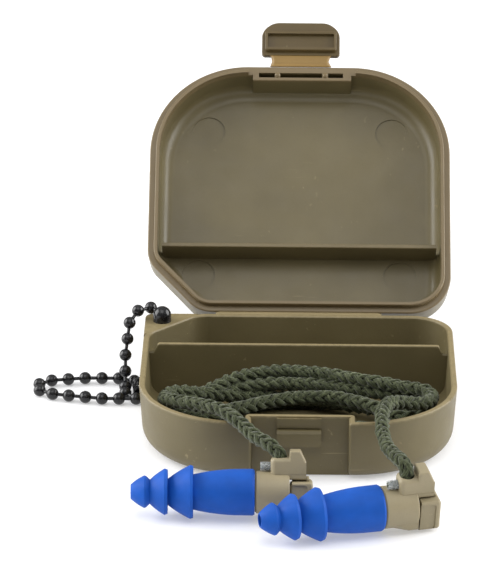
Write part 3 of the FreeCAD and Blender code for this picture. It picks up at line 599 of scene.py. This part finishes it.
def braid(name, line, diameter, lay_length, step, material, taper=0.0):
    """Eight yarns, four each way round, that go over two and under two."""
    points, total = evenly(line, step)
    frames = travelling_frames(points)
    gap = total / (len(points) - 1)
    radius = diameter / 2
    middle = radius * YARN_CENTRE
    swing = radius * YARN_SWING
    half_wide = radius * YARN_HALF_WIDE
    half_thick = radius * YARN_HALF_THICK
    turns = [2 * math.pi * k / YARN_SIDES for k in range(YARN_SIDES)]
    one_yarn = ring_faces(len(points), YARN_SIDES)
    rng = random.Random(YARN_SEED)
    vertices = []
    faces = []
    uvs = []
    for yarn in range(2 * YARNS_EACH_WAY):
        way = 1 if yarn < YARNS_EACH_WAY else -1
        number = yarn % YARNS_EACH_WAY
        plump = rng.uniform(*PLUMPNESS)
        first = len(vertices)
        drift = rng.uniform(0, UV_DRIFT)
        slope = way * 2 * math.pi * middle / lay_length
        for i, point in enumerate(points):
            tangent, side, normal = frames[i]
            along = i * gap
            crossing = 2 * YARNS_EACH_WAY * along / lay_length
            if way > 0:
                lift = math.cos(math.pi / 2 * (crossing - 0.5) + math.pi * number)
            else:
                lift = -math.cos(math.pi * number - math.pi / 2 * (crossing + 0.5))
            angle = way * 2 * math.pi * along / lay_length + math.pi / 2 * number
            outward = side * math.cos(angle) + normal * math.sin(angle)
            round_way = side * -math.sin(angle) + normal * math.cos(angle)
            slack = 1.0 - taper * max(0.0, 1.0 - along / (diameter * TAPER_REACH))
            centre = point + outward * ((middle + swing * lift) * slack)
            across = (round_way - tangent * slope).normalized()
            uneven = 0.5 * sum(math.sin(along * rate + yarn * shift) for rate, shift in SIDE_WAVES)
            swell = math.sin(along * OUTWARD_WAVE + yarn)
            centre += (across * (radius * SIDE_WOBBLE * uneven)
                       + outward * (radius * OUTWARD_WOBBLE * swell))
            twist = along / diameter * YARN_TWIST
            for turn in turns:
                strand = 1.0 + PLY_DEPTH * math.cos(PLIES * (turn - twist))
                vertices.append(centre + across * (math.cos(turn) * half_wide * plump * strand)
                                + outward * (math.sin(turn) * half_thick * strand))
        faces.extend(tuple(first + corner for corner in face) for face in one_yarn)
        for i in range(len(points) - 1):
            u0 = (i * gap) / diameter + drift
            u1 = ((i + 1) * gap) / diameter + drift
            for k in range(YARN_SIDES):
                v0 = k / YARN_SIDES
                v1 = (k + 1) / YARN_SIDES
                uvs.extend((u0, v0, u0, v1, u1, v1, u1, v0))
        uvs.extend([drift, 0.0] * (2 * YARN_SIDES))
    mesh = bpy.data.meshes.new(name)
    mesh.from_pydata(vertices, [], faces)
    mesh.uv_layers.new(name="yarn").data.foreach_set("uv", uvs)
    mesh.materials.append(material)
    mesh.polygons.foreach_set("use_smooth", [True] * len(mesh.polygons))
    made = bpy.data.objects.new(name, mesh)
    bpy.context.scene.collection.objects.link(made)
    return made, points, total


def eased(a, b, t):
    return a + (b - a) * (1 - math.cos(math.pi * min(max(t, 0.0), 1.0))) / 2


def coil_route():
    """Control points of the flat coil, clockwise: in at the top left, down to the floor, up."""
    route = []
    corner = math.sqrt(0.5)
    for k, (crown_y, crown_z, lean) in enumerate(COIL_STRETCHES):
        x0, y0, z0, r0 = COIL_ENDS[k]
        x1, y1, z1, r1 = COIL_ENDS[k + 1]
        side = 1 if k % 2 else -1
        rear = -side
        start = (x0 - side * r0, y0 + rear * r0)
        finish = (x1 + side * r1, y1 + rear * r1)
        route.append((x0, y0, z0))
        route.append((x0 - side * r0 * (1 - corner), y0 + rear * r0 * corner,
                      eased(z0, crown_z, CORNER_CLIMB)))
        route.append((*start, eased(z0, crown_z, TURN_CLIMB)))
        for u in CROWN_STEPS:
            t = (u + 1) / 2
            crown = (1 - u * u) ** CROWN_POWER
            flat_y = start[1] + (finish[1] - start[1]) * t
            middle_y = (start[1] + finish[1]) / 2
            x = start[0] + (finish[0] - start[0]) * t + lean * (1 - u * u)
            if u <= 0:
                z = eased(z0, crown_z, TURN_CLIMB + (1 - TURN_CLIMB) * (u + 1))
            else:
                z = eased(crown_z, z1, (1 - TURN_CLIMB) * u)
            route.append((x, flat_y + (crown_y - middle_y) * crown, z))
        route.append((*finish, eased(crown_z, z1, 1 - TURN_CLIMB)))
        route.append((x1 + side * r1 * (1 - corner), y1 + rear * r1 * corner,
                      eased(crown_z, z1, 1 - CORNER_CLIMB)))
    route.append(COIL_ENDS[-1][:3])
    return route


def open_lid_point(x, s, n):
    """Point of the open lid: x across, s along it from the hinge, n out of its rim plane."""
    cos, sin = math.cos(OPEN_ANGLE), math.sin(OPEN_ANGLE)
    return Vector((x, HINGE_Y - s * cos + n * sin, HINGE_Z + s * sin + n * cos)) * MM


def plug_point(side, u, v, w=0.0):
    """Point of a plug: u along its axis from the tip, v up, w sideways."""
    yaw, roll = PLUG_YAWS[side], PLUG_ROLLS[side]
    y = w * math.cos(roll) + v * math.sin(roll)
    z = -w * math.sin(roll) + v * math.cos(roll)
    x = u * math.cos(yaw) - y * math.sin(yaw)
    y = u * math.sin(yaw) + y * math.cos(yaw)
    tip = PLUG_TIPS[side]
    return Vector((tip[0] + x, tip[1] + y, PLUG_AXIS_Z + z)) * MM


def ribbon(name, section, place, half, columns, material):
    """Closed thin strip: a loop of (s, n) section points repeated across its width.
    Its long edges are rounded by drawing the outermost columns in."""
    loop = len(section)
    centre_n = sum(p[1] for p in section) / loop
    vertices = []
    for i in range(columns + 1):
        x = -half + 2 * half * i / columns
        pull = 1.0 if 0 < i < columns else RIBBON_EDGE_PULL
        for s, n in section:
            vertices.append(place(x, s, centre_n + (n - centre_n) * pull))
    return mesh_object(name, vertices, ring_faces(columns + 1, loop), material)


# ---------------------------------------------------------------- operators
class EARPLUG_OT_stage(bpy.types.Operator):
    """Set the camera, the pale floor and the soft studio light"""
    bl_idname = "earplug.stage"
    bl_label = "Stage"

    def execute(self, context):
        scene = context.scene
        settings = scene.earplug_stage
        self.camera(scene, settings)
        self.floor(settings)
        self.softboxes(scene, settings)
        self.room(scene, settings)
        scene.view_settings.view_transform = "Standard"
        scene.view_settings.look = "None"
        return {"FINISHED"}

    def camera(self, scene, settings):
        """Camera that looks at its target from a given heading, tilt and roll."""
        flat = math.cos(CAMERA_DOWN)
        ahead = Vector((-math.sin(CAMERA_HEADING) * flat, math.cos(CAMERA_HEADING) * flat,
                        -math.sin(CAMERA_DOWN)))
        level = Vector((math.cos(CAMERA_HEADING), math.sin(CAMERA_HEADING), 0.0))
        above = level.cross(ahead)
        right = level * math.cos(CAMERA_ROLL) - above * math.sin(CAMERA_ROLL)
        up = level * math.sin(CAMERA_ROLL) + above * math.cos(CAMERA_ROLL)
        place = CAMERA_TARGET - ahead * CAMERA_DISTANCE
        data = bpy.data.cameras.new("camera")
        data.lens = settings.lens
        data.sensor_width = SENSOR_WIDTH
        data.clip_start = CLIP_NEAR
        data.clip_end = CLIP_FAR
        made = bpy.data.objects.new("camera", data)
        made.matrix_world = Matrix((
            (right.x, up.x, -ahead.x, place.x),
            (right.y, up.y, -ahead.y, place.y),
            (right.z, up.z, -ahead.z, place.z),
            (0.0, 0.0, 0.0, 1.0),
        ))
        scene.collection.objects.link(made)
        scene.camera = made

    def floor(self, settings):
        """Wide white table with a faint tooth that gives off a little light."""
        material, tree, shader = blank_material("floor_paper")
        tooth = noise(tree, object_coordinates(tree), 900.0)
        tree.links.new(ramp(tree, tooth, (0.3, (0.67, 0.67, 0.68)), (0.7, (0.69, 0.69, 0.70))),
                       shader.inputs["Base Color"])
        shader.inputs["Roughness"].default_value = 0.7
        shader.inputs["Emission Color"].default_value = (1.0, 1.0, 1.0, 1.0)
        shader.inputs["Emission Strength"].default_value = settings.table_glow
        r = FLOOR_REACH
        corners = [(-r, -r, 0), (r, -r, 0), (r, r, 0), (-r, r, 0)]
        mesh_object("floor", corners, [(0, 1, 2, 3)], material, smooth=False)

    def softboxes(self, scene, settings):
        """Square area lights, all aimed at the object."""
        for name, at, size, power in SOFTBOXES:
            data = bpy.data.lights.new(name, "AREA")
            data.shape = "SQUARE"
            data.size = size
            data.energy = getattr(settings, power)
            lamp = bpy.data.objects.new(name, data)
            lamp.location = at
            aim = Vector(LIGHT_TARGET) - Vector(at)
            lamp.rotation_euler = aim.to_track_quat("-Z", "Y").to_euler()
            scene.collection.objects.link(lamp)

    def room(self, scene, settings):
        """Grey walls that get brighter towards the ceiling."""
        world = bpy.data.worlds.new("room")
        world.use_nodes = True
        tree = world.node_tree
        background = tree.nodes["Background"]
        direction = node(tree, "ShaderNodeSeparateXYZ")
        tree.links.new(node(tree, "ShaderNodeTexCoord").outputs["Generated"],
                       direction.inputs["Vector"])
        walls = ramp(tree, between(tree, direction.outputs["Z"], -1.0, 1.0),
                     (0.5, (0.10, 0.10, 0.10)), (0.75, (0.55, 0.55, 0.55)),
                     (1.0, (1.0, 1.0, 1.0)))
        tree.links.new(walls, background.inputs["Color"])
        background.inputs["Strength"].default_value = settings.room_power
        scene.world = world


class EARPLUG_OT_cord(bpy.types.Operator):
    """Braid the cord from one plug, round its coil in the case, to the other plug"""
    bl_idname = "earplug.cord"
    bl_label = "Cord"

    def execute(self, context):
        settings = context.scene.earplug_cord
        yarn = braided_yarn("cord_yarn", settings.colour, settings.fibre_highlight_colour)
        route = metres(*LEFT_LEAD, *coil_route(), *RIGHT_LEAD)
        line = spline_points("cord_line", route)
        cord, path, total = braid("cord", line, settings.diameter, settings.lay_length,
                                  settings.step, yarn)
        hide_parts("cord_coil", "cord_lead_left", "cord_lead_right")
        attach(cord, "case")
        for side in ("left", "right"):
            tail_line = [plug_point(side, TAIL_FROM_U + (TAIL_TO_U - TAIL_FROM_U) * i / TAIL_STEPS,
                                    TAIL_V)
                         for i in range(TAIL_STEPS + 1)]
            tail, _, _ = braid(f"tail_{side}", tail_line, TAIL_DIAMETER * MM, TAIL_LAY * MM,
                               TAIL_STEP * MM, yarn, taper=TAIL_TAPER)
            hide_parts(f"plug_{side}_cord_tail")
            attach(tail, f"plug_{side}")
        return {"FINISHED"}


class EARPLUG_OT_case(bpy.types.Operator):
    """Give the case, its lid and the latch their moulded finish, with painted shade on the latch
    and a painted highlight on the base's rim
    """
    bl_idname = "earplug.case"
    bl_label = "Case"

    def execute(self, context):
        settings = context.scene.earplug_case
        colour, wear, grain = settings.shell_colour, settings.wear_and_rim_highlight_colour, settings.grain
        # the top of the base's rim is paled with a painted highlight
        base_rim_highlight = ((0.0, 0.0, 1.0), *BASE_RIM_HIGHLIGHT, wear)
        into_lid = Vector((0.0, math.sin(OPEN_ANGLE), math.cos(OPEN_ANGLE)))
        rim_plane = into_lid.dot(Vector((0.0, HINGE_Y, HINGE_Z)) * MM)
        lid_rim = (-into_lid, *(-rim_plane - depth for depth in LID_RIM), settings.edge_colour)
        dress("case_base", moulded_plastic("base_plastic", colour, wear, grain, rim=base_rim_highlight))
        dress("case_lid", moulded_plastic("lid_plastic", colour, wear, grain, rim=lid_rim,
                                          scratches=0.4, gloss=(0.30, 0.40)))
        # the latch is the shell plastic in a darker colour: painted shade
        dress("latch", moulded_plastic("latch_plastic", LATCH_SHADED_COLOUR, wear, grain))
        return {"FINISHED"}


class EARPLUG_OT_hinges(bpy.types.Operator):
    """Make the thin strips that bend between base, lid and latch"""
    bl_idname = "earplug.hinges"
    bl_label = "Living hinges"

    def execute(self, context):
        settings = context.scene.earplug_case
        wear, grain = settings.wear_and_rim_highlight_colour, settings.grain
        amber = moulded_plastic("thin_plastic", THIN_COLOUR, wear, grain)
        pale = moulded_plastic("flexed_plastic", scaled(wear, 0.95), wear, grain)
        self.lid_strip(pale)
        self.latch_strip(amber)
        return {"FINISHED"}

    def lid_strip(self, material):
        """Strip that leaves the base's rim level and meets the lid's rim in its own plane."""
        pivot = Vector((0.0, HINGE_Y, HINGE_Z))
        down_lid = Vector((0, math.sin(OPEN_ANGLE), math.cos(OPEN_ANGLE)))
        along_lid = Vector((0, -math.cos(OPEN_ANGLE), math.sin(OPEN_ANGLE)))
        upper = [Vector((0, HINGE_Y - LID_WEB_REACH, HINGE_Z)), pivot.copy(),
                 pivot + along_lid * LID_WEB_REACH]
        under = []
        for i in range(LID_WEB_STEPS + 1):
            turn = math.pi + (OPEN_ANGLE - math.pi) * i / LID_WEB_STEPS
            under.append(pivot + Vector((0, math.sin(turn), math.cos(turn))) * LID_WEB_T)
        lower = [upper[0] - Vector((0, 0, LID_WEB_T)), *under, upper[2] + down_lid * LID_WEB_T]
        section = [(p.y, p.z) for p in upper + lower[::-1]]
        web = ribbon("lid_strip", section, lambda x, s, n: Vector((x, s, n)) * MM,
                     LID_WEB_HALF, LID_WEB_COLUMNS, material)
        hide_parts("lid_hinge_web")
        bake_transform(web)

    def latch_strip(self, material):
        """Flared strip with a moulded groove along its fold."""
        def groove(s):
            return GROOVE_DEPTH * math.exp(-((s - NECK_FOLD) / GROOVE_HALF) ** 2)

        def flared(x, s, n):
            ends = abs(s - middle) / (NECK_TO - middle)
            return open_lid_point(x * (1.0 + NECK_FLARE * ends ** 3), s, n)

        middle = (NECK_FROM + NECK_TO) / 2
        places = [NECK_FROM + (NECK_TO - NECK_FROM) * i / NECK_STEPS for i in range(NECK_STEPS + 1)]
        section = [(s, NECK_T * (1 - groove(s) * 0.5)) for s in places]
        section += [(s, NECK_T * groove(s) * 0.5) for s in reversed(places)]
        neck = ribbon("latch_strip", section, flared, NECK_HALF, NECK_COLUMNS, material)
        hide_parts("latch_hinge_web")
        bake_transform(neck)


class EARPLUG_OT_chain(bpy.types.Operator):
    """Lacquer the ball chain, its connector and its anchor"""
    bl_idname = "earplug.chain"
    bl_label = "Ball chain"

    def execute(self, context):
        colour = context.scene.earplug_chain.enamel_colour
        dress("chain_beads", black_enamel("bead_enamel", colour))
        dress("chain_links", black_enamel("link_enamel", colour, 2200.0))
        dress("chain_connector", black_enamel("connector_enamel", colour, 1400.0))
        dress("chain_anchor", black_enamel("anchor_enamel", colour, 700.0))
        return {"FINISHED"}


class EARPLUG_OT_plugs(bpy.types.Operator):
    """Finish both plugs: flanges, housing, filter, cap and the strap of the cap"""
    bl_idname = "earplug.plugs"
    bl_label = "Plugs"

    def execute(self, context):
        settings = context.scene.earplug_pair
        rubber = soft_rubber("flange_rubber", settings.flange_colour)
        pale = scaled(settings.housing_colour, 1.35)
        housing = moulded_plastic("housing_plastic", settings.housing_colour, pale, 0.00002,
                                  scratches=0.3)
        cap = moulded_plastic("cap_plastic", scaled(settings.housing_colour, 0.97), pale, 0.00002,
                              scratches=0.4)
        gauze = filter_gauze("filter_gauze")
        sleeve = clear_sleeve("clear_sleeve")
        for side in ("left", "right"):
            dress(f"plug_{side}_flanges", rubber)
            dress(f"plug_{side}_housing", housing)
            dress(f"plug_{side}_filter", gauze)
            dress(f"plug_{side}_cap", cap)
            dress(f"plug_{side}_aglet", sleeve)
            self.strap(side, cap)
            self.seal(side, cap)
        self.nub(rubber)
        return {"FINISHED"}

    def strap(self, side, material):
        """Short strap between the housing's arm and the top of the cap."""
        low, high = STRAP_V
        section = []
        for i in range(STRAP_STEPS + 1):
            v = low + (high - low) * i / STRAP_STEPS
            bulge = math.sin(math.pi * i / STRAP_STEPS)
            section.append((STRAP_U + STRAP_T * (1 - STRAP_BULGE + STRAP_BULGE * bulge), v))
        for i in range(STRAP_STEPS, -1, -1):
            section.append((STRAP_U, low + (high - low) * i / STRAP_STEPS))
        made = ribbon(f"cap_strap_{side}", section, lambda w, u, v: plug_point(side, u, v, w),
                      STRAP_HALF, STRAP_COLUMNS, material)
        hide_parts(f"plug_{side}_cap_hinge")
        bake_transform(made)

    def seal(self, side, material):
        """Rounded collar of the cap that closes the end of the bore."""
        vertices = []
        for u, radius in SEAL_RINGS:
            for k in range(SEAL_SIDES):
                turn = 2 * math.pi * k / SEAL_SIDES
                vertices.append(plug_point(side, u, radius * math.cos(turn) + SEAL_V,
                                           radius * math.sin(turn)))
        made = mesh_object(f"cap_seal_{side}", vertices, ring_faces(len(SEAL_RINGS), SEAL_SIDES),
                           material)
        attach(made, f"cap_{side}")

    def nub(self, material):
        """Trimmed gate mark under the right plug's sleeve."""
        vertices = []
        wobble = random.Random(NUB_SEED)
        for radius, drop in NUB_RINGS:
            for k in range(NUB_SIDES):
                turn = 2 * math.pi * k / NUB_SIDES
                r = radius * wobble.uniform(*NUB_UNEVEN)
                vertices.append(plug_point("right", NUB_U + r * math.cos(turn), -NUB_R - drop,
                                           r * math.sin(turn)))
        made = mesh_object("gate_nub", vertices, ring_faces(len(NUB_RINGS), NUB_SIDES), material)
        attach(made, "plug_right")


class EARPLUG_PT_panel(bpy.types.Panel):
    """Ear plugs, case, cord and stage, in the order they are made"""
    bl_idname = "EARPLUG_PT_panel"
    bl_label = "Ear Plugs"
    bl_space_type = "VIEW_3D"
    bl_region_type = "UI"
    bl_category = "Ear Plugs"

    def draw(self, context):
        for group, operators in PANEL_ROWS:
            box = self.layout.box()
            settings = getattr(context.scene, group)
            for name in settings.bl_rna.properties.keys():
                if name not in ("rna_type", "name"):
                    box.prop(settings, name)
            for operator in operators:
                box.operator(operator)


PANEL_ROWS = (
    ("earplug_stage", ("earplug.stage",)),
    ("earplug_cord", ("earplug.cord",)),
    ("earplug_case", ("earplug.case", "earplug.hinges")),
    ("earplug_chain", ("earplug.chain",)),
    ("earplug_pair", ("earplug.plugs",)),
)
GROUPS = {
    "earplug_stage": EarPlugStageSettings,
    "earplug_cord": EarPlugCordSettings,
    "earplug_case": EarPlugCaseSettings,
    "earplug_chain": EarPlugChainSettings,
    "earplug_pair": EarPlugPairSettings,
}
CLASSES = (
    *GROUPS.values(), EARPLUG_OT_stage, EARPLUG_OT_cord, EARPLUG_OT_case, EARPLUG_OT_hinges,
    EARPLUG_OT_chain, EARPLUG_OT_plugs, EARPLUG_PT_panel,
)


def register():
    for cls in CLASSES:
        bpy.utils.register_class(cls)
    for name, group in GROUPS.items():
        setattr(bpy.types.Scene, name, PointerProperty(type=group))


def unregister():
    for name in GROUPS:
        delattr(bpy.types.Scene, name)
    for cls in reversed(CLASSES):
        bpy.utils.unregister_class(cls)


def main():
    register()
    bpy.ops.earplug.stage()
    bpy.ops.earplug.cord()
    bpy.ops.earplug.case()
    bpy.ops.earplug.hinges()
    bpy.ops.earplug.chain()
    bpy.ops.earplug.plugs()


if __name__ == "__main__":
    main()
